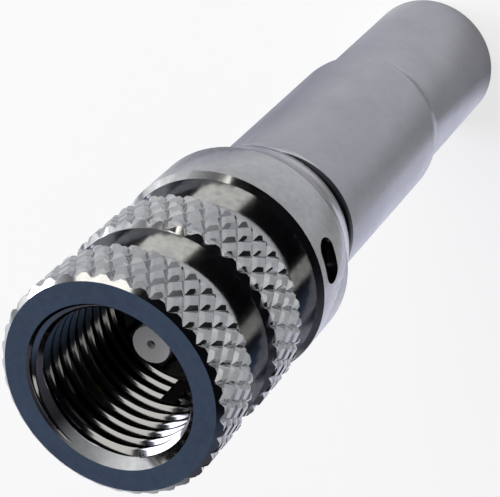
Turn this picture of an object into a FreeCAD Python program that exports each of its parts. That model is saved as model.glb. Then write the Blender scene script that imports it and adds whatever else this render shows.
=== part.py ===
import FreeCAD, Part
import math
import os

from FreeCAD import Vector

# Threaded concentric twinax plug with a crimp ferrule, in millimetres.
# It stands on the rear end of the ferrule, with the threaded mouth up.
# The origin is the centre of that rear end, and +Z runs along the plug's axis.

# Crimp ferrule, a plain stepped tube
ferrule_length = 33.2
ferrule_wall = 0.55
ferrule_large_radius = 5.9
ferrule_small_radius = 5.4
ferrule_small_length = 13.4
ferrule_cone_length = 2.2
ferrule_edge_chamfer = 0.2
ferrule_front_round_length = 0.8
ferrule_front_round_depth = 0.45
ferrule_seat_gap = 0.05

# Plug body, turned in one piece
collar_length = 7.7
collar_radius = 5.85
collar_chamfer = 0.3
neck_radius = 4.9
neck_length = 5.8
spigot_radius = 4.35
spigot_length = 0.75
stem_radius = 4.6
stem_bore_radius = 3.9
stem_length = 17.6
stem_end_chamfer = 0.35
stem_grip_grooves = 5
stem_grip_pitch = 3.0
stem_grip_width = 0.8
stem_grip_depth = 0.2
stem_grip_margin = 2.0
insulator_bore_radius = 3.2
insulator_bore_step = 4.3
shield_seat_length = 2.6

# Coupling nut, turned, knurled and threaded in one piece
nut_length = 23.1
nut_crest_radius = 7.6
mouth_face_radius = 7.2
mouth_chamfer_length = 0.35
front_band_length = 4.4
front_groove_width = 3.2
rear_band_length = 4.3
rear_groove_width = 3.5
groove_floor_radius = 6.3
band_chamfer = 0.4
skirt_straight_length = 4.1
skirt_waist_radius = 6.8
skirt_waist_from_rear = 1.4
skirt_rear_radius = 6.45
skirt_rear_edge = 0.1
nut_cavity_depth = 7.4
nut_cavity_clearance = 0.25
nut_land_length = 3.7
nut_land_clearance = 0.05
washer_space = 0.65

# Coupling thread, 7/16 inch with 24 turns to the inch, cut here at its minor radius
thread_major_radius = 5.56
thread_minor_radius = 4.98
thread_lead_length = 0.9
thread_full_length = 4.8
thread_lead_chamfer = 0.3
thread_lead_flare = 0.15

# Diamond knurl
knurl_starts = 36
knurl_helix_degrees = 30.0
knurl_depth = 0.22
knurl_groove_width = 0.5
knurl_stations = 3
knurl_cutter_overrun = 0.15
knurl_phase_degrees = 5.0
knurl_meet_from_edge = 0.05

# Spanner slots through the skirt, longer round the nut than along it
spanner_slot_width = 1.8
spanner_slot_length = 3.2
spanner_slot_from_skirt_front = 1.95
spanner_slot_degrees = -126.5
spanner_slot_count = 2

# Nylon locking strip let into the thread
lock_strip_length = 2.8
lock_strip_width = 0.95
lock_strip_depth = 0.3
lock_strip_stand = 0.65
lock_strip_from_mouth = 7.2
lock_strip_degrees = 131.0

# Split ring that holds the nut on the body
ring_thickness = 0.8
ring_radial_width = 0.85
ring_groove_depth = 0.5
ring_side_clearance = 0.05
ring_from_land_front = 0.5
ring_gap_degrees = 24.0

# Wave washer between the nut and the collar
washer_thickness = 0.2
washer_wave_height = 0.12
washer_waves = 3
washer_stations = 24
washer_width = 0.75
washer_bore_clearance = 0.1

# Seals
o_ring_section_radius = 0.45
o_ring_from_land_rear = 1.0
o_ring_nut_clearance = 0.03
o_ring_flats = 8
gasket_height = 0.7
gasket_stand = 0.5

# Shield contact, a slotted spring sleeve
shield_radius = 3.75
shield_wall = 0.35
shield_length = 3.8
shield_slots = 6
shield_slot_width = 0.4
shield_slot_length = 2.2
shield_lip = 0.12

# Insulators and inner contacts
seat_clearance = 0.02
post_tip_from_mouth = 5.75
post_tip_radius = 1.3
post_tip_length = 0.85
post_length = 19.5
post_entry_radius = 0.3
post_entry_length = 0.5
middle_contact_radius = 1.28
middle_contact_wall = 0.24
middle_contact_length = 16.0
middle_collar_radius = 1.8
middle_collar_length = 0.8
middle_cup_radius = 1.85
middle_cup_wall = 0.35
middle_cup_length = 4.5
centre_contact_radius = 0.62
centre_contact_length = 21.5
centre_socket_radius = 0.26
centre_socket_depth = 4.5
centre_socket_slot_width = 0.12
centre_socket_slot_length = 3.0
centre_socket_slot_degrees = 45.0
centre_crimp_bore_radius = 0.42
centre_crimp_bore_depth = 4.0
centre_sight_hole_radius = 0.2
front_insulator_rim_length = 1.7
front_insulator_bead_length = 3.7
rear_insulator_length = 3.4
lock_ring_thickness = 1.4
lock_ring_bore_radius = 2.1
lock_ring_slot_width = 0.6
lock_ring_slot_depth = 0.5

# Stations on the axis, worked out from the lengths
collar_rear_z = ferrule_length + ferrule_seat_gap
collar_front_z = collar_rear_z + collar_length
neck_front_z = collar_front_z + neck_length
body_front_z = neck_front_z + spigot_length
stem_rear_z = collar_rear_z - stem_length
land_rear_z = collar_front_z + washer_space
land_front_z = land_rear_z + nut_land_length
nut_rear_z = land_rear_z - nut_cavity_depth
mouth_z = nut_rear_z + nut_length
nut_cavity_radius = collar_radius + nut_cavity_clearance
nut_land_radius = neck_radius + nut_land_clearance
front_band_rear_z = mouth_z - front_band_length
rear_band_front_z = front_band_rear_z - front_groove_width
rear_band_rear_z = rear_band_front_z - rear_band_length
skirt_front_z = rear_band_rear_z - rear_groove_width
ring_front_z = land_front_z - ring_from_land_front - ring_side_clearance
ring_rear_z = ring_front_z - ring_thickness
ring_bore_radius = neck_radius - ring_groove_depth + ring_side_clearance
ring_outer_radius = ring_bore_radius + ring_radial_width
o_ring_z = land_rear_z + o_ring_from_land_rear
o_ring_centre_radius = nut_land_radius - o_ring_nut_clearance - o_ring_section_radius
post_tip_z = mouth_z - post_tip_from_mouth
shield_rear_z = body_front_z - shield_seat_length
bead_rear_z = shield_rear_z - front_insulator_bead_length
insulator_bore_rear_z = collar_rear_z + insulator_bore_step
middle_front_z = post_tip_z - post_tip_length
middle_bore_radius = middle_contact_radius - middle_contact_wall


def point(radius, z):
    """A point of a turned section, in the XZ plane."""
    return Vector(radius, 0, z)


def section_face(outline):
    """A flat face from (r, z) corners; a four-number step is an arc through a middle point."""
    edges = []
    last = point(*outline[0])
    for step in outline[1:] + [outline[0]]:
        end = point(*step[-2:])
        if len(step) == 4:
            edges.append(Part.Arc(last, point(*step[:2]), end).toShape())
        elif last.distanceToPoint(end) > 1e-6:
            edges.append(Part.LineSegment(last, end).toShape())
        last = end
    return Part.Face(Part.Wire(edges))


def turned(outline, degrees=360.0):
    """A turned solid: the section swept round the Z axis."""
    return section_face(outline).revolve(Vector(0, 0, 0), Vector(0, 0, 1), degrees)


def tube(outer_radius, inner_radius, low_z, high_z):
    """A plain tube between two heights."""
    outline = [(inner_radius, low_z), (outer_radius, low_z), (outer_radius, high_z), (inner_radius, high_z)]
    return turned(outline)


def round_bar(radius, low_z, high_z):
    """A plain cylinder on the axis between two heights."""
    return Part.makeCylinder(radius, high_z - low_z, Vector(0, 0, low_z))


def radial_slot(width, inner_radius, outer_radius, low_z, high_z, degrees):
    """A straight-sided block that points outwards from the axis, for slots and strips."""
    block = Part.makeBox(outer_radius - inner_radius, width, high_z - low_z)
    block.translate(Vector(inner_radius, -width / 2, low_z))
    block.rotate(Vector(0, 0, 0), Vector(0, 0, 1), degrees)
    return block


def knurl_cutter(start_degrees, turn_sign, low_z, high_z, meet_z):
    """One V groove of the knurl: a triangle that climbs and turns along its helix."""
    reach = knurl_depth + knurl_cutter_overrun
    half_width = knurl_groove_width / 2 * reach / knurl_depth / math.cos(math.radians(knurl_helix_degrees))
    root = nut_crest_radius - knurl_depth
    top = root + reach
    turn_per_mm = math.degrees(math.tan(math.radians(knurl_helix_degrees)) / nut_crest_radius)
    sections = []
    for station in range(knurl_stations):
        z = low_z + (high_z - low_z) * station / (knurl_stations - 1)
        corners = [Vector(root, 0, z), Vector(top, half_width, z), Vector(top, -half_width, z)]
        wire = Part.makePolygon(corners + [corners[0]])
        wire.rotate(Vector(0, 0, 0), Vector(0, 0, 1), start_degrees + turn_sign * turn_per_mm * (z - meet_z))
        sections.append(wire)
    return Part.makeLoft(sections, True, True)


def knurled(blank, low_z, high_z):
    """Cuts a diamond knurl into a band; the two hands of grooves meet at its front edge."""
    first_z = low_z - knurl_cutter_overrun
    last_z = high_z + knurl_cutter_overrun
    meet_z = high_z - knurl_meet_from_edge
    for turn_sign in (1, -1):
        cutters = []
        for start in range(knurl_starts):
            angle = knurl_phase_degrees + 360.0 * start / knurl_starts
            cutters.append(knurl_cutter(angle, turn_sign, first_z, last_z, meet_z))
        blank = blank.cut(cutters)
    return blank


def grooved_outline():
    """The nut's outside from the rear edge to the mouth: skirt, grooves and bands."""
    taper_z = skirt_front_z - band_chamfer - skirt_straight_length
    rear_z = nut_rear_z + skirt_rear_edge
    outline = [(skirt_rear_radius - skirt_rear_edge, nut_rear_z), (skirt_rear_radius, rear_z)]
    outline.append((skirt_waist_radius, nut_rear_z + skirt_waist_from_rear, nut_crest_radius, taper_z))
    for low_z, high_z in ((skirt_front_z, rear_band_rear_z), (rear_band_front_z, front_band_rear_z)):
        outline.append((nut_crest_radius, low_z - band_chamfer))
        outline.append((nut_crest_radius - band_chamfer, low_z))
        outline.append((groove_floor_radius, low_z))
        outline.append((groove_floor_radius, high_z))
        outline.append((nut_crest_radius, high_z))
    outline.append((nut_crest_radius, mouth_z - mouth_chamfer_length))
    outline.append((mouth_face_radius, mouth_z))
    return outline


def bored_outline():
    """The nut's inside from the mouth to the rear: thread, relief, land and cavity."""
    full_top_z = mouth_z - thread_lead_length
    full_bottom_z = full_top_z - thread_full_length
    ring_groove_radius = ring_outer_radius + ring_side_clearance
    return [
        (thread_major_radius + thread_lead_flare, mouth_z),
        (thread_major_radius, mouth_z - thread_lead_chamfer),
        (thread_major_radius, full_top_z),
        (thread_minor_radius, full_top_z),
        (thread_minor_radius, full_bottom_z),
        (thread_major_radius, full_bottom_z),
        (thread_major_radius, land_front_z),
        (nut_land_radius, land_front_z),
        (nut_land_radius, ring_front_z + ring_side_clearance),
        (ring_groove_radius, ring_front_z + ring_side_clearance),
        (ring_groove_radius, ring_rear_z - ring_side_clearance),
        (nut_land_radius, ring_rear_z - ring_side_clearance),
        (nut_land_radius, land_rear_z),
        (nut_cavity_radius, land_rear_z),
        (nut_cavity_radius, nut_rear_z),
    ]


def lock_strip_block():
    """The block that both the strip and its slot are made from."""
    outer_radius = thread_major_radius + lock_strip_depth
    top_z = mouth_z - lock_strip_from_mouth
    bottom_z = top_z - lock_strip_length
    inner_radius = thread_major_radius - lock_strip_stand
    return radial_slot(lock_strip_width, inner_radius, outer_radius, bottom_z, top_z, lock_strip_degrees)


def spanner_slot(degrees):
    """A round-ended cutter that points outwards, from inside the cavity to past the skirt."""
    start = nut_cavity_radius / 2
    z = skirt_front_z - spanner_slot_from_skirt_front
    end_radius = spanner_slot_width / 2
    half = spanner_slot_length / 2 - end_radius
    upper_left = Vector(start, -half, z + end_radius)
    upper_right = Vector(start, half, z + end_radius)
    lower_left = Vector(start, -half, z - end_radius)
    lower_right = Vector(start, half, z - end_radius)
    outline = Part.Wire([
        Part.LineSegment(upper_left, upper_right).toShape(),
        Part.Arc(upper_right, Vector(start, half + end_radius, z), lower_right).toShape(),
        Part.LineSegment(lower_right, lower_left).toShape(),
        Part.Arc(lower_left, Vector(start, -half - end_radius, z), upper_left).toShape(),
    ])
    cutter = Part.Face(outline).extrude(Vector(nut_crest_radius, 0, 0))
    cutter.rotate(Vector(0, 0, 0), Vector(0, 0, 1), degrees)
    return cutter


def coupling_nut():
    nut = turned(grooved_outline() + bored_outline())
    nut = knurled(nut, front_band_rear_z, mouth_z)
    nut = knurled(nut, rear_band_rear_z, rear_band_front_z)
    for number in range(spanner_slot_count):
        nut = nut.cut(spanner_slot(spanner_slot_degrees + 360.0 * number / spanner_slot_count))
    return nut.cut(lock_strip_block())


def thread_lock_strip():
    return lock_strip_block()


def nut_retaining_ring():
    outline = [
        (ring_bore_radius, ring_rear_z),
        (ring_outer_radius, ring_rear_z),
        (ring_outer_radius, ring_front_z),
        (ring_bore_radius, ring_front_z),
    ]
    ring = turned(outline, 360.0 - ring_gap_degrees)
    ring.rotate(Vector(0, 0, 0), Vector(0, 0, 1), ring_gap_degrees / 2)
    return ring


def wave_washer():
    """A thin ring whose height follows a cosine with three waves."""
    inner_radius = neck_radius + washer_bore_clearance
    outer_radius = inner_radius + washer_width
    middle_z = (collar_front_z + land_rear_z) / 2
    sections = []
    for station in range(washer_stations):
        angle = 2 * math.pi * station / washer_stations
        low_z = middle_z - washer_thickness / 2 + washer_wave_height * math.cos(washer_waves * angle)
        high_z = low_z + washer_thickness
        low_edge = [point(inner_radius, low_z), point(outer_radius, low_z)]
        high_edge = [point(outer_radius, high_z), point(inner_radius, high_z)]
        wire = Part.makePolygon(low_edge + high_edge + low_edge[:1])
        wire.rotate(Vector(0, 0, 0), Vector(0, 0, 1), math.degrees(angle))
        sections.append(wire)
    return Part.makeLoft(sections, True, False, True)


def body_o_ring():
    """The ring as squeezed into its groove: a round section with flats on all sides."""
    half_turn = math.pi / o_ring_flats
    reach = o_ring_section_radius / math.cos(half_turn)
    outline = []
    for corner in range(o_ring_flats):
        angle = half_turn + 2 * half_turn * corner
        outline.append((o_ring_centre_radius + reach * math.cos(angle), o_ring_z + reach * math.sin(angle)))
    return turned(outline)


def mating_gasket():
    inner_radius = spigot_radius + seat_clearance
    return tube(inner_radius + gasket_stand, inner_radius, neck_front_z, neck_front_z + gasket_height)


def plug_body():
    ring_root_radius = neck_radius - ring_groove_depth
    o_groove_root = o_ring_centre_radius - o_ring_section_radius
    o_groove_half = o_ring_section_radius + ring_side_clearance
    outline = [
        (stem_bore_radius, stem_rear_z),
        (stem_radius - stem_end_chamfer, stem_rear_z),
        (stem_radius, stem_rear_z + stem_end_chamfer),
        (stem_radius, collar_rear_z),
        (collar_radius - collar_chamfer, collar_rear_z),
        (collar_radius, collar_rear_z + collar_chamfer),
        (collar_radius, collar_front_z - collar_chamfer),
        (collar_radius - collar_chamfer, collar_front_z),
        (neck_radius, collar_front_z),
        (neck_radius, o_ring_z - o_groove_half),
        (o_groove_root, o_ring_z - o_groove_half),
        (o_groove_root, o_ring_z + o_groove_half),
        (neck_radius, o_ring_z + o_groove_half),
        (neck_radius, ring_rear_z - ring_side_clearance),
        (ring_root_radius, ring_rear_z - ring_side_clearance),
        (ring_root_radius, ring_front_z + ring_side_clearance),
        (neck_radius, ring_front_z + ring_side_clearance),
        (neck_radius, neck_front_z),
        (spigot_radius, neck_front_z),
        (spigot_radius, body_front_z),
        (shield_radius + seat_clearance, body_front_z),
        (shield_radius + seat_clearance, shield_rear_z),
        (insulator_bore_radius, shield_rear_z),
        (insulator_bore_radius, insulator_bore_rear_z),
        (stem_bore_radius, insulator_bore_rear_z),
    ]
    body = turned(outline)
    for number in range(stem_grip_grooves):
        z = stem_rear_z + stem_grip_margin + stem_grip_pitch * number
        half = stem_grip_width / 2
        root = stem_radius - stem_grip_depth
        body = body.cut(turned([(root, z), (stem_radius, z - half), (stem_radius, z + half)]))
    return body


def shield_contact():
    bore_radius = shield_radius - shield_wall
    front_z = shield_rear_z + shield_length
    lip_radius = shield_radius + shield_lip
    lip_length = 3 * shield_lip
    outline = [
        (bore_radius, shield_rear_z),
        (shield_radius, shield_rear_z),
        (shield_radius, front_z - 2 * lip_length),
        (lip_radius, front_z - lip_length),
        (shield_radius, front_z),
        (bore_radius, front_z),
    ]
    sleeve = turned(outline)
    for number in range(shield_slots):
        angle = 360.0 * number / shield_slots
        reach = lip_radius + shield_wall
        slot_low_z = front_z - shield_slot_length
        sleeve = sleeve.cut(radial_slot(shield_slot_width, 0, reach, slot_low_z, front_z, angle))
    return sleeve


def front_insulator():
    """The bead between the intermediate contact and the body, with a pocket for its collar."""
    bore_radius = middle_contact_radius + seat_clearance
    rim_radius = shield_radius - shield_wall - seat_clearance
    bead_radius = insulator_bore_radius - seat_clearance
    pocket_radius = middle_collar_radius + seat_clearance
    pocket_z = bead_rear_z + middle_collar_length + seat_clearance
    return turned([
        (pocket_radius, bead_rear_z),
        (bead_radius, bead_rear_z),
        (bead_radius, shield_rear_z),
        (rim_radius, shield_rear_z),
        (rim_radius, shield_rear_z + front_insulator_rim_length),
        (bore_radius, shield_rear_z + front_insulator_rim_length),
        (bore_radius, pocket_z),
        (pocket_radius, pocket_z),
    ])


def rear_insulator():
    """The second bead, which backs up the first and the contact's collar."""
    bore_radius = middle_contact_radius + seat_clearance
    bead_radius = insulator_bore_radius - seat_clearance
    return tube(bead_radius, bore_radius, bead_rear_z - rear_insulator_length, bead_rear_z)


def insulator_lock_ring():
    """The threaded ring behind the beads, with a screwdriver slot across its rear face."""
    top_z = insulator_bore_rear_z
    low_z = top_z - lock_ring_thickness
    ring = tube(stem_bore_radius - seat_clearance, lock_ring_bore_radius, low_z, top_z)
    reach = stem_bore_radius + lock_ring_slot_width
    slot_high_z = low_z + lock_ring_slot_depth
    for angle in (0, 180):
        ring = ring.cut(radial_slot(lock_ring_slot_width, 0, reach, low_z, slot_high_z, angle))
    return ring


def intermediate_contact():
    """A long tube with a locating collar, and a wider cup for its conductor at the rear."""
    bore_radius = middle_bore_radius
    tube_rear_z = middle_front_z - middle_contact_length
    collar_front = bead_rear_z + middle_collar_length
    cup_rear_z = tube_rear_z - middle_cup_length
    return turned([
        (middle_cup_radius - middle_cup_wall, cup_rear_z),
        (middle_cup_radius, cup_rear_z),
        (middle_cup_radius, tube_rear_z),
        (middle_contact_radius, tube_rear_z),
        (middle_contact_radius, bead_rear_z),
        (middle_collar_radius, bead_rear_z),
        (middle_collar_radius, collar_front),
        (middle_contact_radius, collar_front),
        (middle_contact_radius, middle_front_z),
        (bore_radius, middle_front_z),
        (bore_radius, tube_rear_z),
        (middle_cup_radius - middle_cup_wall, tube_rear_z),
    ])


def post_insulator():
    """The white post: a tip that caps the intermediate contact, and a long liner behind it."""
    liner_radius = middle_bore_radius - seat_clearance
    bore_radius = centre_contact_radius + seat_clearance
    entry_z = post_tip_z - post_entry_length
    rear_z = post_tip_z - post_length
    return turned([
        (bore_radius, rear_z),
        (liner_radius, rear_z),
        (liner_radius, middle_front_z),
        (post_tip_radius, middle_front_z),
        (post_tip_radius, post_tip_z),
        (post_entry_radius, post_tip_z),
        (post_entry_radius, entry_z),
        (bore_radius, entry_z),
    ])


def centre_contact():
    """A socket contact: slotted socket in front, crimp barrel with a sight hole behind."""
    front_z = post_tip_z - post_entry_length
    rear_z = front_z - centre_contact_length
    contact = round_bar(centre_contact_radius, rear_z, front_z)
    contact = contact.cut(round_bar(centre_socket_radius, front_z - centre_socket_depth, front_z))
    contact = contact.cut(round_bar(centre_crimp_bore_radius, rear_z, rear_z + centre_crimp_bore_depth))
    slot_low_z = front_z - centre_socket_slot_length
    reach = 2 * centre_contact_radius
    for angle in (centre_socket_slot_degrees, centre_socket_slot_degrees + 180):
        contact = contact.cut(radial_slot(centre_socket_slot_width, 0, reach, slot_low_z, front_z, angle))
    sight_z = rear_z + centre_crimp_bore_depth - 2 * centre_sight_hole_radius
    sight = Part.makeCylinder(centre_sight_hole_radius, reach, Vector(0, 0, sight_z), Vector(1, 0, 0))
    return contact.cut(sight)


def crimp_ferrule():
    """The stepped ferrule: the large end slips over the stem, the small end holds the jacket."""
    cone_low_z = ferrule_small_length
    cone_high_z = cone_low_z + ferrule_cone_length
    step = ferrule_large_radius - ferrule_small_radius
    eased_length = ferrule_cone_length / 4
    eased_step = step / 8
    small_bore = ferrule_small_radius - ferrule_wall
    large_bore = ferrule_large_radius - ferrule_wall
    length = ferrule_front_round_length
    depth = ferrule_front_round_depth
    round_low_z = ferrule_length - length
    round_radius = (length ** 2 + depth ** 2) / (2 * depth)
    half_angle = math.asin(length / round_radius) / 2
    round_middle = ferrule_large_radius - round_radius * (1 - math.cos(half_angle))
    round_middle_z = round_low_z + round_radius * math.sin(half_angle)
    return turned([
        (small_bore, 0),
        (ferrule_small_radius - ferrule_edge_chamfer, 0),
        (ferrule_small_radius, ferrule_edge_chamfer),
        (ferrule_small_radius, cone_low_z),
        (ferrule_small_radius + eased_step, cone_low_z + eased_length),
        (ferrule_large_radius - eased_step, cone_high_z - eased_length),
        (ferrule_large_radius, cone_high_z),
        (ferrule_large_radius, round_low_z),
        (round_middle, round_middle_z, ferrule_large_radius - depth, ferrule_length),
        (large_bore, ferrule_length),
        (large_bore, cone_high_z),
        (small_bore, cone_low_z),
    ])


sub_parts = (
    crimp_ferrule,
    plug_body,
    coupling_nut,
    thread_lock_strip,
    nut_retaining_ring,
    wave_washer,
    body_o_ring,
    mating_gasket,
    shield_contact,
    front_insulator,
    rear_insulator,
    insulator_lock_ring,
    intermediate_contact,
    post_insulator,
    centre_contact,
)

os.makedirs("parts", exist_ok=True)
for build_sub_part in sub_parts:
    shape = build_sub_part()
    shape.exportStep("parts/" + build_sub_part.__name__ + ".step")
    box = shape.BoundBox
    print(build_sub_part.__name__, shape.isValid(), len(shape.Solids), round(shape.Volume, 2),
          round(box.ZMin, 3), round(box.ZMax, 3), round(box.XLength, 3))
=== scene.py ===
"""Threaded twinax plug: the thread in its mouth and the finishes of its pieces.

Round it are a pale floor, soft lamps, glowing cards and sheets that only the metal reflects, which are
painted reflections, and the camera.
"""

import math

import bpy
import numpy as np
from mathutils import Matrix, Vector


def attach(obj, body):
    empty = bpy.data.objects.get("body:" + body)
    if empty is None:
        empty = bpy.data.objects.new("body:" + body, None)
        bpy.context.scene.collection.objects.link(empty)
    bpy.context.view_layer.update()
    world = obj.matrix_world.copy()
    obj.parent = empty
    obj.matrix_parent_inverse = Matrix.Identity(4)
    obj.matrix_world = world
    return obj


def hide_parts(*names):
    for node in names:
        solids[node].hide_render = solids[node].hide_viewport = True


MM = 0.001

# Inside thread of the coupling nut, in millimetres
THREAD_MAJOR_RADIUS = 5.56
THREAD_MINOR_RADIUS = 4.98
THREAD_PITCH = 25.4 / 24
THREAD_LAST_TURN_FROM_MOUTH = 10.6
THREAD_CREST_SHARE = 0.22
THREAD_ROOT_SHARE = 0.16
THREAD_STEPS_PER_TURN = 24
THREAD_ROUND_STEPS = 192
BORE_FLOOR_FROM_MOUTH = 12.0
LEAD_IN_RADIUS = 5.71
LEAD_IN_DEPTH = 1.05
BORE_POCKET_RADIUS = 5.9
LAND_MARGIN = 0.05

# Camera, in millimetres and degrees, looking down on the mouth from the front
CAMERA_PLACE = (-0.2, -80.8, 147.8)
CAMERA_ELEVATION = 53.93
CAMERA_ROLL = 135.6
CAMERA_LENS = 144.0
CAMERA_CLIP = 10.0

# Zones of painted shade, in millimetres: within a radius, from one height to another, and how far they lean
# Painted shade: the threaded bore inside the mouth is coloured darker, for the shade in this recess
THREAD_SHADE_ZONE = (5.6, 44.8, 56.3, 0.0)
# Painted shade: the parts inside the mouth are coloured near black
CONTACT_SHADE_ZONE = (5.6, 44.8, 57.3, 0.0)
# Painted shade: a dark crescent on the ferrule's rounded front edge, for the shadow in the gap behind the
# nut; it leans so that it thins towards +X
FERRULE_GAP_SHADE_ZONE = (6.0, 32.66, 35.0, 0.11)

# Shading: edges sharper than these angles stay crisp
SMOOTH_ANGLE = math.radians(28)
KNURL_SMOOTH_ANGLE = math.radians(43)

# Points this close are one, in millimetres and in decimals of a metre
WELD_DISTANCE = 0.0005
WELD_DECIMALS = 8

# Points within this depth of the mouth's plane belong to its flat face, in millimetres
FACE_DEPTH = 0.02

# Floor: its reach in metres, its paper, and how far it glows for the camera and in the metal
FLOOR_REACH = 3.0
PALE_PAPER = (0.93, 0.93, 0.93)
PAPER_ROUGHNESS = 0.9
PAPER_SPECULAR = 0.1
FLOOR_GLOW = 0.75
FLOOR_GLOW_IN_METAL = 0.15

# Studio walls and ceiling, with the stretches of a direction's coordinates over which they blend
LEFT_WALL = (0.10, 0.10, 0.12)
RIGHT_WALL = (1.5, 1.5, 1.5)
LEFT_TO_RIGHT = (-0.3, 0.3)
FRONT_CEILING = (0.006, 0.006, 0.008)
BACK_CEILING = (0.10, 0.14, 0.22)
FRONT_TO_BACK = (-0.1, 0.4)
BACK_TO_RIGHT = (0.1, 0.3)
WALL_TO_CEILING = (0.15, 0.5)

# Softboxes: how far they stand from the plug's middle, in metres, and its height, in millimetres
SOFTBOX_DISTANCE = 0.55
PLUG_MIDDLE = 30.0
COOL_LIGHT = (0.90, 0.91, 1.0)
WARM_LIGHT = (1.0, 0.97, 0.88)
# Glow colours of the painted reflections: plain for the cards, lilac for the sheets
PLAIN_LIGHT = (1.0, 1.0, 1.0)
LILAC_LIGHT = (0.90, 0.91, 1.05)

# Glowing cards bent round the plug, seen only in the knurl's reflections: a painted dark reflection and a
# painted bright one, in millimetres and degrees round the plug
CARD_RADIUS = 70.0
CARD_HEIGHT = 50.0
CARD_STEPS = 24
CARD_ROWS = 9
CARD_FADE = 0.3
DARK_REFLECTION_SPAN = (-110.0, -212.0)
DARK_REFLECTION_GLOW = 0.02
BRIGHT_REFLECTION_SPAN = (-36.0, -112.0)
BRIGHT_REFLECTION_GLOW = 1.2

# Glowing sheets just above the floor, seen only in the ferrule's reflections as painted reflections, a grey
# one and a brighter one: two corners, the soft border and the height, in millimetres
GREY_REFLECTION_SHEET = ((-12.0, -8.0), (34.0, 33.0), 14.0, 0.2)
GREY_REFLECTION_SHEET_GLOW = 0.5
BRIGHT_REFLECTION_SHEET = ((-52.0, -3.5), (-2.0, 44.0), 2.5, 0.4)
BRIGHT_REFLECTION_SHEET_GLOW = 0.88
SHEET_STEPS = 48

# Noise: how detailed the turning lines and the clouds are, and which part of the clouds' range is used
LINE_DETAIL = 2.0
CLOUD_DETAIL = 3.0
CLOUD_RANGE = (0.3, 0.7)

# Finishes, and the colours of painted shade
NICKEL = (0.45, 0.455, 0.46)
NICKEL_SHADE = (0.34, 0.345, 0.36)
# Painted shade: the darker colour of the threaded bore
PAINTED_BORE_SHADE = (0.19, 0.19, 0.20)
SATIN_NICKEL = (0.41, 0.415, 0.45)
SATIN_SHADE = (0.35, 0.355, 0.385)
# Painted shade: the near-black colour of the gap's shadow on the ferrule's front edge
PAINTED_GAP_SHADE = (0.03, 0.03, 0.035)
BODY_NICKEL = (0.42, 0.42, 0.43)
BODY_SHADE = (0.34, 0.34, 0.35)
# Painted shade: the near-black colour of the parts inside the mouth
PAINTED_CONTACT_SHADE = (0.07, 0.07, 0.07)
SPRING_STEEL = (0.5, 0.47, 0.42)
SPRING_SHADE = (0.40, 0.37, 0.33)
GOLD = (0.80, 0.58, 0.26)
GOLD_SHADE = (0.68, 0.46, 0.18)
WHITE_FLUOROPLASTIC = (0.80, 0.80, 0.84)
WHITE_SHADE = (0.74, 0.74, 0.78)
SEAL_BLACK = (0.022, 0.021, 0.02)
SEAL_SHADE = (0.014, 0.013, 0.013)
NYLON_BLACK = (0.02, 0.02, 0.021)
NYLON_SHADE = (0.012, 0.012, 0.013)


def new_group(name, inputs, outputs):
    """An empty shader node group: inputs are given as (name, kind, value) and outputs as (name, kind)."""
    group = bpy.data.node_groups.new(name, "ShaderNodeTree")
    for socket_name, kind, value in inputs:
        socket = group.interface.new_socket(socket_name, in_out="INPUT", socket_type=kind)
        if value is not None:
            socket.default_value = value
    for socket_name, kind in outputs:
        group.interface.new_socket(socket_name, in_out="OUTPUT", socket_type=kind)
    return group, group.nodes.new("NodeGroupInput"), group.nodes.new("NodeGroupOutput")


def turning_lines_group():
    """Fine rings that a lathe leaves: noise along the sum of the height and the distance from the axis."""
    group, given, result = new_group(
        "turning_lines",
        [("Place", "NodeSocketVector", None), ("Lines per mm", "NodeSocketFloat", 9.0)],
        [("Height", "NodeSocketFloat")],
    )
    nodes, links = group.nodes, group.links
    split = nodes.new("ShaderNodeSeparateXYZ")
    links.new(given.outputs["Place"], split.inputs[0])
    across = nodes.new("ShaderNodeCombineXYZ")
    links.new(split.outputs["X"], across.inputs["X"])
    links.new(split.outputs["Y"], across.inputs["Y"])
    radius = nodes.new("ShaderNodeVectorMath")
    radius.operation = "LENGTH"
    links.new(across.outputs[0], radius.inputs[0])
    along = nodes.new("ShaderNodeMath")
    along.operation = "ADD"
    links.new(split.outputs["Z"], along.inputs[0])
    links.new(radius.outputs["Value"], along.inputs[1])
    scale = nodes.new("ShaderNodeMath")
    scale.operation = "MULTIPLY"
    scale.inputs[1].default_value = 1 / MM
    links.new(along.outputs[0], scale.inputs[0])
    rings = nodes.new("ShaderNodeTexNoise")
    rings.noise_dimensions = "1D"
    rings.inputs["Detail"].default_value = LINE_DETAIL
    links.new(scale.outputs[0], rings.inputs["W"])
    links.new(given.outputs["Lines per mm"], rings.inputs["Scale"])
    links.new(rings.outputs["Fac"], result.inputs["Height"])
    return group


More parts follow.
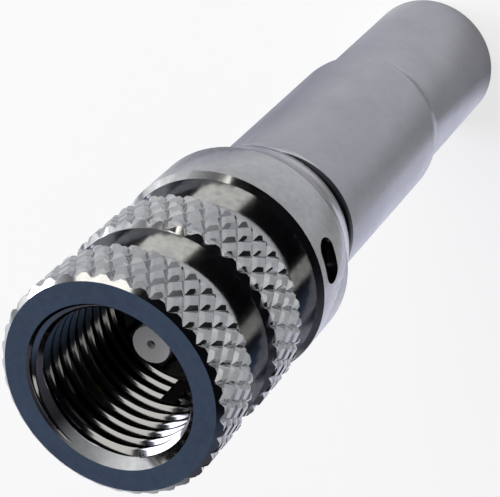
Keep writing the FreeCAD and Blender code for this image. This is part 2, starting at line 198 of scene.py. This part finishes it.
def plate_clouds_group():
    """Uneven plating: broad soft clouds mixed with a finer speckle, both from noise."""
    group, given, result = new_group(
        "plate_clouds",
        [
            ("Place", "NodeSocketVector", None),
            ("Cloud size mm", "NodeSocketFloat", 4.0),
            ("Speckle size mm", "NodeSocketFloat", 0.5),
            ("Speckle share", "NodeSocketFloat", 0.3),
        ],
        [("Mask", "NodeSocketFloat")],
    )
    nodes, links = group.nodes, group.links
    readings = []
    for size_name in ("Cloud size mm", "Speckle size mm"):
        scale = nodes.new("ShaderNodeMath")
        scale.operation = "DIVIDE"
        scale.inputs[0].default_value = 1 / MM
        links.new(given.outputs[size_name], scale.inputs[1])
        noise = nodes.new("ShaderNodeTexNoise")
        noise.inputs["Detail"].default_value = CLOUD_DETAIL
        links.new(given.outputs["Place"], noise.inputs["Vector"])
        links.new(scale.outputs[0], noise.inputs["Scale"])
        readings.append(noise.outputs["Fac"])
    blend = nodes.new("ShaderNodeMix")
    blend.data_type = "FLOAT"
    links.new(given.outputs["Speckle share"], blend.inputs["Factor"])
    links.new(readings[0], blend.inputs["A"])
    links.new(readings[1], blend.inputs["B"])
    stretch = nodes.new("ShaderNodeMapRange")
    stretch.inputs["From Min"].default_value, stretch.inputs["From Max"].default_value = CLOUD_RANGE
    links.new(blend.outputs["Result"], stretch.inputs["Value"])
    links.new(stretch.outputs["Result"], result.inputs["Mask"])
    return group


def turned_zone_group():
    """1 where the distance from the axis and the height less lean times X are within limits, 0 elsewhere."""
    group, given, result = new_group(
        "turned_zone",
        [
            ("Place", "NodeSocketVector", None),
            ("Within radius mm", "NodeSocketFloat", 5.0),
            ("From height mm", "NodeSocketFloat", 0.0),
            ("To height mm", "NodeSocketFloat", 60.0),
            ("Lean", "NodeSocketFloat", 0.0),
        ],
        [("Mask", "NodeSocketFloat")],
    )
    nodes, links = group.nodes, group.links
    in_mm = nodes.new("ShaderNodeVectorMath")
    in_mm.operation = "SCALE"
    in_mm.inputs["Scale"].default_value = 1 / MM
    links.new(given.outputs["Place"], in_mm.inputs[0])
    split = nodes.new("ShaderNodeSeparateXYZ")
    links.new(in_mm.outputs[0], split.inputs[0])
    across = nodes.new("ShaderNodeCombineXYZ")
    links.new(split.outputs["X"], across.inputs["X"])
    links.new(split.outputs["Y"], across.inputs["Y"])
    radius = nodes.new("ShaderNodeVectorMath")
    radius.operation = "LENGTH"
    links.new(across.outputs[0], radius.inputs[0])
    rise = nodes.new("ShaderNodeMath")
    rise.operation = "MULTIPLY"
    links.new(split.outputs["X"], rise.inputs[0])
    links.new(given.outputs["Lean"], rise.inputs[1])
    height = nodes.new("ShaderNodeMath")
    height.operation = "SUBTRACT"
    links.new(split.outputs["Z"], height.inputs[0])
    links.new(rise.outputs[0], height.inputs[1])
    mask = None
    for reading, test, limit in (
        (radius.outputs["Value"], "LESS_THAN", "Within radius mm"),
        (height.outputs[0], "GREATER_THAN", "From height mm"),
        (height.outputs[0], "LESS_THAN", "To height mm"),
    ):
        passed = nodes.new("ShaderNodeMath")
        passed.operation = test
        links.new(reading, passed.inputs[0])
        links.new(given.outputs[limit], passed.inputs[1])
        if mask:
            both = nodes.new("ShaderNodeMath")
            both.operation = "MULTIPLY"
            links.new(mask, both.inputs[0])
            links.new(passed.outputs[0], both.inputs[1])
            mask = both.outputs[0]
        else:
            mask = passed.outputs[0]
    links.new(mask, result.inputs["Mask"])
    return group


def finish(name, colour, shade, metallic, roughness, spread, bump_mm=0.0, speckle_share=0.3, zone=None,
           painted_shade_colour=None):
    """One piece's finish.

    The clouds mix two close colours, and move the roughness by the spread either way. Inside a zone a colour
    of painted shade takes over. The turning lines are a faint bump.
    """
    material = bpy.data.materials.new(name)
    material.use_nodes = True
    nodes, links = material.node_tree.nodes, material.node_tree.links
    shader = nodes["Principled BSDF"]
    shader.inputs["Metallic"].default_value = metallic
    place = nodes.new("ShaderNodeTexCoord")
    clouds = nodes.new("ShaderNodeGroup")
    clouds.node_tree = PLATE_CLOUDS
    clouds.inputs["Speckle share"].default_value = speckle_share
    links.new(place.outputs["Object"], clouds.inputs["Place"])
    tint = nodes.new("ShaderNodeMix")
    tint.data_type = "RGBA"
    tint.inputs["A"].default_value = (*shade, 1)
    tint.inputs["B"].default_value = (*colour, 1)
    links.new(clouds.outputs["Mask"], tint.inputs["Factor"])
    paint_colour = tint.outputs["Result"]
    # Painted shade: inside the zone a darker colour stands in for the shade that falls there
    if zone:
        inside = nodes.new("ShaderNodeGroup")
        inside.node_tree = TURNED_ZONE
        for limit, value in zip(("Within radius mm", "From height mm", "To height mm", "Lean"), zone):
            inside.inputs[limit].default_value = value
        links.new(place.outputs["Object"], inside.inputs["Place"])
        darker = nodes.new("ShaderNodeMix")
        darker.data_type = "RGBA"
        darker.inputs["B"].default_value = (*painted_shade_colour, 1)
        links.new(inside.outputs["Mask"], darker.inputs["Factor"])
        links.new(paint_colour, darker.inputs["A"])
        paint_colour = darker.outputs["Result"]
    links.new(paint_colour, shader.inputs["Base Color"])
    rough = nodes.new("ShaderNodeMapRange")
    rough.inputs["To Min"].default_value = roughness + spread
    rough.inputs["To Max"].default_value = roughness - spread
    links.new(clouds.outputs["Mask"], rough.inputs["Value"])
    links.new(rough.outputs["Result"], shader.inputs["Roughness"])
    if bump_mm:
        lines = nodes.new("ShaderNodeGroup")
        lines.node_tree = TURNING_LINES
        links.new(place.outputs["Object"], lines.inputs["Place"])
        bump = nodes.new("ShaderNodeBump")
        bump.inputs["Distance"].default_value = bump_mm * MM
        links.new(lines.outputs["Height"], bump.inputs["Height"])
        links.new(bump.outputs["Normal"], shader.inputs["Normal"])
    return material


def rounded_shading_group():
    """Joins the loose triangles of a solid's mesh, and shades all but its sharp edges smooth."""
    group = bpy.data.node_groups.new("rounded_shading", "GeometryNodeTree")
    group.interface.new_socket("Geometry", in_out="INPUT", socket_type="NodeSocketGeometry")
    group.interface.new_socket("Geometry", in_out="OUTPUT", socket_type="NodeSocketGeometry")
    nodes, links = group.nodes, group.links
    given, result = nodes.new("NodeGroupInput"), nodes.new("NodeGroupOutput")
    weld = nodes.new("GeometryNodeMergeByDistance")
    weld.inputs["Distance"].default_value = WELD_DISTANCE * MM
    smooth = nodes.new("GeometryNodeSetShadeSmooth")
    crisp = nodes.new("GeometryNodeSetShadeSmooth")
    crisp.domain = "EDGE"
    crisp.inputs["Shade Smooth"].default_value = False
    angle = nodes.new("GeometryNodeInputMeshEdgeAngle")
    sharper = nodes.new("FunctionNodeCompare")
    sharper.inputs["B"].default_value = SMOOTH_ANGLE
    links.new(angle.outputs["Unsigned Angle"], sharper.inputs["A"])
    links.new(given.outputs[0], weld.inputs["Geometry"])
    links.new(weld.outputs["Geometry"], smooth.inputs["Geometry"])
    links.new(smooth.outputs["Geometry"], crisp.inputs["Geometry"])
    links.new(sharper.outputs["Result"], crisp.inputs["Selection"])
    links.new(crisp.outputs["Geometry"], result.inputs[0])
    return group


def mesh_arrays(mesh):
    """A triangle mesh as two arrays: its points and its triangles' point numbers."""
    points = np.zeros(len(mesh.vertices) * 3)
    mesh.vertices.foreach_get("co", points)
    corners = np.zeros(len(mesh.loops), int)
    mesh.loops.foreach_get("vertex_index", corners)
    return points.reshape(-1, 3), corners.reshape(-1, 3)


def welded(points, triangles):
    """Merges points that share a place, and drops triangles that collapse and points that none uses."""
    places, which = np.unique(np.round(points, WELD_DECIMALS), axis=0, return_inverse=True)
    triangles = which.reshape(-1)[triangles]
    first, second, third = triangles.T
    triangles = triangles[(first != second) & (second != third) & (third != first)]
    used, renumbered = np.unique(triangles, return_inverse=True)
    return places[used], renumbered.reshape(-1, 3)


def thread_profile(turns):
    """Radius against turns: flat crests at the minor radius, flat roots at the major one, straight flanks."""
    flank = (1 - THREAD_CREST_SHARE - THREAD_ROOT_SHARE) / 2
    root = THREAD_CREST_SHARE + flank
    corners = [0, THREAD_CREST_SHARE, root, root + THREAD_ROOT_SHARE, 1]
    radii = [THREAD_MINOR_RADIUS] * 2 + [THREAD_MAJOR_RADIUS] * 2 + [THREAD_MINOR_RADIUS]
    return np.interp(np.mod(turns, 1.0), corners, radii)


def threaded_bore(mouth_z):
    """The nut's inside from the mouth to its land, as a grid of rows by steps round.

    A row's radius comes from the thread profile, and its height climbs by one pitch in one turn round, so
    that each crest and root runs along a row. Near the mouth the lead-in cone cuts the turns: the radius is
    the larger of the two. Rows past either end lie on its end circle, and a plain ring leads on to the land.
    """
    low_z = mouth_z - THREAD_LAST_TURN_FROM_MOUTH
    turns = (mouth_z - low_z) / THREAD_PITCH + 1
    rows = np.arange(0, math.ceil(turns * THREAD_STEPS_PER_TURN) + 1) / THREAD_STEPS_PER_TURN
    around = np.linspace(0, 1, THREAD_ROUND_STEPS + 1)
    row, part = np.meshgrid(rows, around, indexing="ij")
    height = low_z + THREAD_PITCH * (row + part - 1)
    radius = np.where(height <= low_z, THREAD_MAJOR_RADIUS, thread_profile(row))
    height = np.clip(height, low_z, mouth_z)
    lead_in_slope = (LEAD_IN_RADIUS - THREAD_MINOR_RADIUS) / LEAD_IN_DEPTH
    radius = np.maximum(radius, LEAD_IN_RADIUS - lead_in_slope * (mouth_z - height))
    radius[height >= mouth_z] = LEAD_IN_RADIUS
    land_ring = np.full((1, len(around)), THREAD_MAJOR_RADIUS)
    land_ring_z = np.full((1, len(around)), mouth_z - BORE_FLOOR_FROM_MOUTH)
    radius = np.vstack([land_ring, radius])
    height = np.vstack([land_ring_z, height])
    angle = 2 * math.pi * np.vstack([part[:1], part])
    points = np.stack([radius * np.cos(angle), radius * np.sin(angle), height], axis=-1) * MM
    count = points.shape[1]
    corner = np.arange(points.shape[0] - 1)[:, None] * count + np.arange(count - 1)[None, :]
    corner = corner.reshape(-1)
    lower = np.stack([corner, corner + count, corner + 1], axis=-1)
    upper = np.stack([corner + 1, corner + count, corner + count + 1], axis=-1)
    return points.reshape(-1, 3), np.vstack([lower, upper])


def keep_face_crisp(mesh, mouth_z):
    """Marks every edge that lies in the mouth's flat face as sharp, so its chamfers keep crisp borders."""
    height = np.zeros(len(mesh.vertices) * 3)
    mesh.vertices.foreach_get("co", height)
    on_face = height[2::3] > (mouth_z - FACE_DEPTH) * MM
    ends = np.zeros(len(mesh.edges) * 2, int)
    mesh.edges.foreach_get("vertices", ends)
    sharp = np.zeros(len(mesh.edges), bool)
    mesh.edges.foreach_get("use_edge_sharp", sharp)
    mesh.edges.foreach_set("use_edge_sharp", sharp | on_face[ends.reshape(-1, 2)].all(axis=1))
    mesh.update()


def threaded_nut(plain_nut):
    """The coupling nut with its turns: the solid's mesh, with the threaded bore in place of the plain one."""
    points, triangles = mesh_arrays(plain_nut.data)
    mouth_z = points[:, 2].max() / MM
    radius = np.hypot(points[:, 0], points[:, 1])[triangles] / MM
    height = points[:, 2][triangles] / MM
    above_land = height.max(axis=1) > mouth_z - BORE_FLOOR_FROM_MOUTH + LAND_MARGIN
    in_bore = (radius.max(axis=1) < BORE_POCKET_RADIUS) & above_land
    outside_points, outside_triangles = welded(points, triangles[~in_bore])
    bore_points, bore_triangles = welded(*threaded_bore(mouth_z))
    points = np.vstack([outside_points, bore_points])
    triangles = np.vstack([outside_triangles, bore_triangles + len(outside_points)])
    mesh = bpy.data.meshes.new("threaded_coupling_nut")
    mesh.from_pydata(points.tolist(), [], triangles.tolist())
    mesh.shade_smooth()
    mesh.set_sharp_from_angle(angle=KNURL_SMOOTH_ANGLE)
    mesh.validate()
    keep_face_crisp(mesh, mouth_z)
    nut = bpy.data.objects.new("threaded_coupling_nut", mesh)
    bpy.context.scene.collection.objects.link(nut)
    return nut


def pale_floor():
    """A wide plain floor under the ferrule's rear end, which glows a little for the camera and the metal."""
    corners = [(-1, -1, 0), (1, -1, 0), (1, 1, 0), (-1, 1, 0)]
    mesh = bpy.data.meshes.new("floor")
    mesh.from_pydata((np.array(corners) * FLOOR_REACH).tolist(), [], [(0, 1, 2, 3)])
    floor = bpy.data.objects.new("floor", mesh)
    bpy.context.scene.collection.objects.link(floor)
    material = bpy.data.materials.new("pale_paper")
    material.use_nodes = True
    nodes, links = material.node_tree.nodes, material.node_tree.links
    paper = nodes["Principled BSDF"]
    paper.inputs["Base Color"].default_value = (*PALE_PAPER, 1)
    paper.inputs["Roughness"].default_value = PAPER_ROUGHNESS
    paper.inputs["Specular IOR Level"].default_value = PAPER_SPECULAR
    white = nodes.new("ShaderNodeEmission")
    path = nodes.new("ShaderNodeLightPath")
    glow = nodes.new("ShaderNodeMath")
    glow.operation = "ADD"
    shares = (("Is Camera Ray", FLOOR_GLOW), ("Is Glossy Ray", FLOOR_GLOW_IN_METAL))
    for number, (ray, share) in enumerate(shares):
        part = nodes.new("ShaderNodeMath")
        part.operation = "MULTIPLY"
        part.inputs[1].default_value = share
        links.new(path.outputs[ray], part.inputs[0])
        links.new(part.outputs[0], glow.inputs[number])
    blend = nodes.new("ShaderNodeMixShader")
    links.new(glow.outputs[0], blend.inputs["Fac"])
    links.new(paper.outputs[0], blend.inputs[1])
    links.new(white.outputs[0], blend.inputs[2])
    links.new(blend.outputs[0], nodes["Material Output"].inputs["Surface"])
    mesh.materials.append(material)


def held(values):
    """The values, held between 0 and 1."""
    return np.clip(values, 0, 1)


def reflected_card(name, points, cover, colour, glow):
    """A glowing card seen only in the metal's reflections, a painted reflection: a grid of points in
    millimetres, each with its cover.
    """
    rows, columns = cover.shape
    first = (np.arange(rows - 1)[:, None] * columns + np.arange(columns - 1)).reshape(-1)
    quads = np.stack([first, first + 1, first + 1 + columns, first + columns], axis=-1)
    mesh = bpy.data.meshes.new(name)
    mesh.from_pydata((points * MM).reshape(-1, 3).tolist(), [], quads.tolist())
    mesh.attributes.new("cover", "FLOAT", "POINT").data.foreach_set("value", cover.reshape(-1))
    card = bpy.data.objects.new(name, mesh)
    bpy.context.scene.collection.objects.link(card)
    card.visible_camera = False
    card.visible_diffuse = False
    card.visible_shadow = False
    material = bpy.data.materials.new(name)
    material.use_nodes = True
    nodes, links = material.node_tree.nodes, material.node_tree.links
    light = nodes.new("ShaderNodeEmission")
    light.inputs["Color"].default_value = (*colour, 1)
    light.inputs["Strength"].default_value = glow
    nothing = nodes.new("ShaderNodeBsdfTransparent")
    reading = nodes.new("ShaderNodeAttribute")
    reading.attribute_name = "cover"
    blend = nodes.new("ShaderNodeMixShader")
    links.new(reading.outputs["Fac"], blend.inputs["Fac"])
    links.new(nothing.outputs[0], blend.inputs[1])
    links.new(light.outputs[0], blend.inputs[2])
    links.new(blend.outputs[0], nodes["Material Output"].inputs["Surface"])
    nodes.remove(nodes["Principled BSDF"])
    mesh.materials.append(material)


def bent_card(name, span, glow):
    """A painted reflection: a glowing card that stands bent round the plug.

    With a from 0 to 1 across it and h from 0 to 1 up it, its cover is the product of a / fade, (1 - a) / fade
    and (1 - h) / fade, each held between 0 and 1, so that its sides and top are soft.
    """
    up, across = np.meshgrid(np.linspace(0, 1, CARD_ROWS), np.linspace(0, 1, CARD_STEPS), indexing="ij")
    angle = np.radians(span[0] + (span[1] - span[0]) * across)
    points = np.stack([CARD_RADIUS * np.cos(angle), CARD_RADIUS * np.sin(angle), CARD_HEIGHT * up], axis=-1)
    cover = held(across / CARD_FADE) * held((1 - across) / CARD_FADE) * held((1 - up) / CARD_FADE)
    reflected_card(name, points, cover, PLAIN_LIGHT, glow)


def floor_sheet(name, corner, far_corner, border, height, glow):
    """A painted reflection: a glowing sheet on the floor, seen only in the metal; its cover is the product
    over its sides of the distance / border, held to 1.
    """
    x, y = np.meshgrid(*np.linspace(corner, far_corner, SHEET_STEPS).T)
    cover = held((x - corner[0]) / border) * held((far_corner[0] - x) / border)
    cover = cover * held((y - corner[1]) / border) * held((far_corner[1] - y) / border)
    reflected_card(name, np.stack([x, y, np.full_like(x, height)], axis=-1), cover, LILAC_LIGHT, glow)


def softbox(name, azimuth, elevation, width, height, radiance, colour):
    """A soft rectangular lamp that faces the plug's middle, at angles in degrees and with sides in metres.

    Its power is pi times its area times its radiance, which is how bright its face looks.
    """
    lamp = bpy.data.lights.new(name, "AREA")
    lamp.shape = "RECTANGLE"
    lamp.size, lamp.size_y = width, height
    lamp.energy = radiance * math.pi * width * height
    lamp.color = colour
    obj = bpy.data.objects.new(name, lamp)
    azimuth, elevation = math.radians(azimuth), math.radians(elevation)
    level = math.cos(elevation)
    away = Vector((math.cos(azimuth) * level, math.sin(azimuth) * level, math.sin(elevation)))
    obj.location = Vector((0, 0, PLUG_MIDDLE * MM)) + away * SOFTBOX_DISTANCE
    obj.rotation_euler = away.to_track_quat("Z", "Y").to_euler()
    bpy.context.scene.collection.objects.link(obj)


def side_to_side(nodes, links, reading, stretch, low_colour, high_colour):
    """Blends two colours along a stretch of one of a direction's coordinates."""
    place = nodes.new("ShaderNodeMapRange")
    place.interpolation_type = "SMOOTHSTEP"
    place.inputs["From Min"].default_value, place.inputs["From Max"].default_value = stretch
    links.new(reading, place.inputs["Value"])
    shade = nodes.new("ShaderNodeMix")
    shade.data_type = "RGBA"
    for socket, colour in (("A", low_colour), ("B", high_colour)):
        if isinstance(colour, tuple):
            shade.inputs[socket].default_value = (*colour, 1)
        else:
            links.new(colour, shade.inputs[socket])
    links.new(place.outputs["Result"], shade.inputs["Factor"])
    return shade.outputs["Result"]


def studio_world():
    """Low walls, white on the right and dark on the left, and a dim ceiling that is less dark at the back."""
    world = bpy.data.worlds.new("studio")
    bpy.context.scene.world = world
    world.use_nodes = True
    nodes, links = world.node_tree.nodes, world.node_tree.links
    background = nodes["Background"]
    direction = nodes.new("ShaderNodeTexCoord")
    split = nodes.new("ShaderNodeSeparateXYZ")
    links.new(direction.outputs["Generated"], split.inputs[0])
    walls = side_to_side(nodes, links, split.outputs["X"], LEFT_TO_RIGHT, LEFT_WALL, RIGHT_WALL)
    back = side_to_side(nodes, links, split.outputs["X"], BACK_TO_RIGHT, BACK_CEILING, FRONT_CEILING)
    ceiling = side_to_side(nodes, links, split.outputs["Y"], FRONT_TO_BACK, FRONT_CEILING, back)
    studio = side_to_side(nodes, links, split.outputs["Z"], WALL_TO_CEILING, walls, ceiling)
    links.new(studio, background.inputs["Color"])


def photo_camera():
    """The camera at the photo's viewing angle: raised in front and rolled, so that the plug lies across."""
    elevation, roll = math.radians(CAMERA_ELEVATION), math.radians(CAMERA_ROLL)
    back = Vector((0, -math.cos(elevation), math.sin(elevation)))
    level_up = Vector((0, math.sin(elevation), math.cos(elevation)))
    level_right = level_up.cross(back)
    up = level_up * math.cos(roll) + level_right * math.sin(roll)
    right = up.cross(back)
    lens = bpy.data.cameras.new("camera")
    lens.lens = CAMERA_LENS
    lens.clip_start = CAMERA_CLIP * MM
    camera = bpy.data.objects.new("camera", lens)
    turn = Matrix((right, up, back)).transposed().to_4x4()
    camera.matrix_world = Matrix.Translation(Vector(CAMERA_PLACE) * MM) @ turn
    bpy.context.scene.collection.objects.link(camera)
    bpy.context.scene.camera = camera


def paint(piece, material):
    """Gives a piece one material for all its faces."""
    piece.data.materials.clear()
    piece.data.materials.append(material)


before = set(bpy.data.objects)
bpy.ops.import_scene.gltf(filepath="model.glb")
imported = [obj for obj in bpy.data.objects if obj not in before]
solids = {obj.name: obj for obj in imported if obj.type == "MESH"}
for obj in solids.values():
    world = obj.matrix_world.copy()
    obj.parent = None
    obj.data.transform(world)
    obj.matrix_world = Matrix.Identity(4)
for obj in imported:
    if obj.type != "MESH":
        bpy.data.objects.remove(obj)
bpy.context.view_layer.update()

PLATE_CLOUDS = plate_clouds_group()
TURNING_LINES = turning_lines_group()
TURNED_ZONE = turned_zone_group()
ROUNDED_SHADING = rounded_shading_group()

# The nut's finish paints shade on its threaded bore: a darker colour inside the mouth
nut_nickel = finish("nut_nickel", NICKEL, NICKEL_SHADE, metallic=1.0, roughness=0.11, spread=0.03,
                    speckle_share=0.6, zone=THREAD_SHADE_ZONE, painted_shade_colour=PAINTED_BORE_SHADE)
# The ferrule's finish paints the gap's shadow as a dark crescent on its front edge
ferrule_nickel = finish("ferrule_nickel", SATIN_NICKEL, SATIN_SHADE, metallic=1.0, roughness=0.22,
                        spread=0.04, bump_mm=0.002, zone=FERRULE_GAP_SHADE_ZONE, painted_shade_colour=PAINTED_GAP_SHADE)
# The body's finish paints shade on the parts inside the mouth: near black
body_nickel = finish("body_nickel", BODY_NICKEL, BODY_SHADE, metallic=1.0, roughness=0.25, spread=0.04,
                     bump_mm=0.002, zone=CONTACT_SHADE_ZONE, painted_shade_colour=PAINTED_CONTACT_SHADE)
spring_metal = finish("spring_metal", SPRING_STEEL, SPRING_SHADE, metallic=1.0, roughness=0.35, spread=0.05)
gold_contact = finish("gold_contact", GOLD, GOLD_SHADE, metallic=1.0, roughness=0.22, spread=0.04,
                      bump_mm=0.001)
white_insulator = finish("white_insulator", WHITE_FLUOROPLASTIC, WHITE_SHADE, metallic=0.0, roughness=0.42,
                         spread=0.04)
seal_rubber = finish("seal_rubber", SEAL_BLACK, SEAL_SHADE, metallic=0.0, roughness=0.6, spread=0.05)
black_nylon = finish("black_nylon", NYLON_BLACK, NYLON_SHADE, metallic=0.0, roughness=0.4, spread=0.05)

finishes = {
    "coupling_nut": nut_nickel,
    "crimp_ferrule": ferrule_nickel,
    "plug_body": body_nickel,
    "shield_contact": body_nickel,
    "insulator_lock_ring": body_nickel,
    "nut_retaining_ring": spring_metal,
    "wave_washer": spring_metal,
    "intermediate_contact": gold_contact,
    "centre_contact": gold_contact,
    "post_insulator": white_insulator,
    "front_insulator": white_insulator,
    "rear_insulator": white_insulator,
    "body_o_ring": seal_rubber,
    "mating_gasket": seal_rubber,
    "thread_lock_strip": black_nylon,
}
for name, solid in solids.items():
    paint(solid, finishes[name])
    rounding = solid.modifiers.new("rounded_shading", "NODES")
    rounding.node_group = ROUNDED_SHADING

nut = threaded_nut(solids["coupling_nut"])
paint(nut, nut_nickel)
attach(nut, "nut")
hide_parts("coupling_nut")

pale_floor()
# Painted reflections: glowing cards that the camera, shadows and diffuse light pass through
bent_card("painted_dark_reflection", DARK_REFLECTION_SPAN, DARK_REFLECTION_GLOW)
bent_card("painted_bright_reflection", BRIGHT_REFLECTION_SPAN, BRIGHT_REFLECTION_GLOW)
# Painted reflections on the ferrule: glowing sheets, a grey one and a brighter lilac one
floor_sheet("painted_grey_sheet_reflection", *GREY_REFLECTION_SHEET, GREY_REFLECTION_SHEET_GLOW)
floor_sheet("painted_bright_sheet_reflection", *BRIGHT_REFLECTION_SHEET, BRIGHT_REFLECTION_SHEET_GLOW)
studio_world()
softbox("window_softbox", azimuth=34, elevation=27, width=0.30, height=0.36, radiance=9.0,
        colour=COOL_LIGHT)
softbox("overhead_softbox", azimuth=-18, elevation=50, width=0.36, height=0.42, radiance=2.6,
        colour=WARM_LIGHT)
softbox("fill_softbox", azimuth=-163, elevation=55, width=0.12, height=0.12, radiance=0.9,
        colour=WARM_LIGHT)
photo_camera()
bpy.context.scene.view_settings.view_transform = "Standard"
